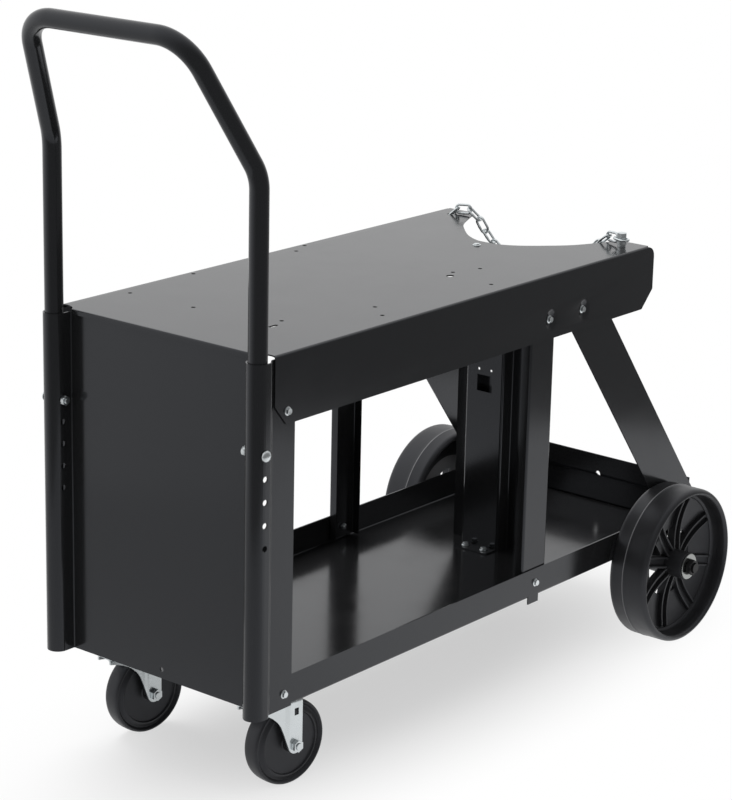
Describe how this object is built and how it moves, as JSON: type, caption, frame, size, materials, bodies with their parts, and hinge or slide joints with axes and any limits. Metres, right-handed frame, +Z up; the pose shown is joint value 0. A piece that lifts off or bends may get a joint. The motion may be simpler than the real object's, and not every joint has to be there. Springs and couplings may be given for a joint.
{
  "type": "welding cart",
  "caption": "Black sheet-steel welding cart with a flat top tray, lower storage tray, notched rear cylinder platform with retaining chain, push handle, swivel casters and large rear wheels.",
  "frame": {"origin": "on the floor under the middle of the object's bounding box", "axes": "+X from the handle end to the large wheels, +Y to the left of a person pushing at the handle, +Z up"},
  "size_m": [1.1943, 0.5644, 1.0903],
  "materials": {
    "black_paint": "gloss powder coat",
    "wheel_plastic": "satin",
    "zinc": "bright zinc plate",
    "dark_steel": "dark oxide"
  },
  "bodies": {
    "frame": {"front_panel": "black_paint", "top_tray": "black_paint", "bottom_tray": "black_paint", "rear_wall": "black_paint", "centre_post": "black_paint", "left_post": "black_paint", "right_post": "black_paint", "left_strut": "black_paint", "right_strut": "black_paint", "left_handle_bolt": "zinc", "right_handle_bolt": "zinc", "left_handle_nut": "zinc", "right_handle_nut": "zinc", "axle": "dark_steel", "left_washer": "zinc", "right_washer": "zinc", "left_axle_nut": "dark_steel", "right_axle_nut": "dark_steel", "left_caster_plate": "zinc", "right_caster_plate": "zinc", "chain_bolt": "zinc", "chain_spacer": "zinc", "chain_link_01": "zinc", "chain_link_02": "zinc", "chain_link_03": "zinc", "chain_link_04": "zinc", "chain_link_18": "zinc", "chain_link_19": "zinc", "chain_link_20": "zinc"},
    "handle": {"handle": "black_paint"},
    "left_swivel": {"left_caster_fork": "zinc", "left_caster_bolt": "zinc", "left_caster_nut": "zinc"},
    "right_swivel": {"right_caster_fork": "zinc", "right_caster_bolt": "zinc", "right_caster_nut": "zinc"},
    "left_front_wheel": {"left_caster_wheel": "wheel_plastic"},
    "right_front_wheel": {"right_caster_wheel": "wheel_plastic"},
    "left_rear_wheel": {"left_wheel": "wheel_plastic"},
    "right_rear_wheel": {"right_wheel": "wheel_plastic"},
    "chain": {"chain_link_05": "zinc", "chain_link_06": "zinc", "chain_link_07": "zinc", "chain_link_08": "zinc", "chain_link_09": "zinc", "chain_link_10": "zinc", "chain_link_11": "zinc", "chain_link_12": "zinc", "chain_link_13": "zinc", "chain_link_14": "zinc", "chain_link_15": "zinc", "chain_link_16": "zinc", "chain_link_17": "zinc"}
  },
  "joints": [
    {"name": "handle_height", "type": "slide", "parent": "frame", "child": "handle", "axis": [0, 0, 1], "range_m": [-0.0972, 0]},
    {"name": "left_caster_swivel", "type": "hinge", "parent": "frame", "child": "left_swivel", "pos_m": [-0.41482, 0.1365, 0.14], "axis": [0, 0, 1], "continuous": true},
    {"name": "right_caster_swivel", "type": "hinge", "parent": "frame", "child": "right_swivel", "pos_m": [-0.41482, -0.1365, 0.14], "axis": [0, 0, 1], "continuous": true},
    {"name": "left_caster_roll", "type": "hinge", "parent": "left_swivel", "child": "left_front_wheel", "pos_m": [-0.37711, 0.13187, 0.0635], "axis": [0.1219, 0.9925, 0], "continuous": true},
    {"name": "right_caster_roll", "type": "hinge", "parent": "right_swivel", "child": "right_front_wheel", "pos_m": [-0.3772, -0.14179, 0.0635], "axis": [0.1392, 0.9903, 0], "continuous": true},
    {"name": "left_wheel_roll", "type": "hinge", "parent": "frame", "child": "left_rear_wheel", "pos_m": [0.47018, 0.2325, 0.127], "axis": [0, 1, 0], "continuous": true},
    {"name": "right_wheel_roll", "type": "hinge", "parent": "frame", "child": "right_rear_wheel", "pos_m": [0.47018, -0.2325, 0.127], "axis": [0, 1, 0], "continuous": true},
    {"name": "chain_swing", "type": "hinge", "parent": "frame", "child": "chain", "pos_m": [0.3933, 0, 0.6516], "axis": [0, 1, 0], "range_deg": [-25, 25]}
  ]
}
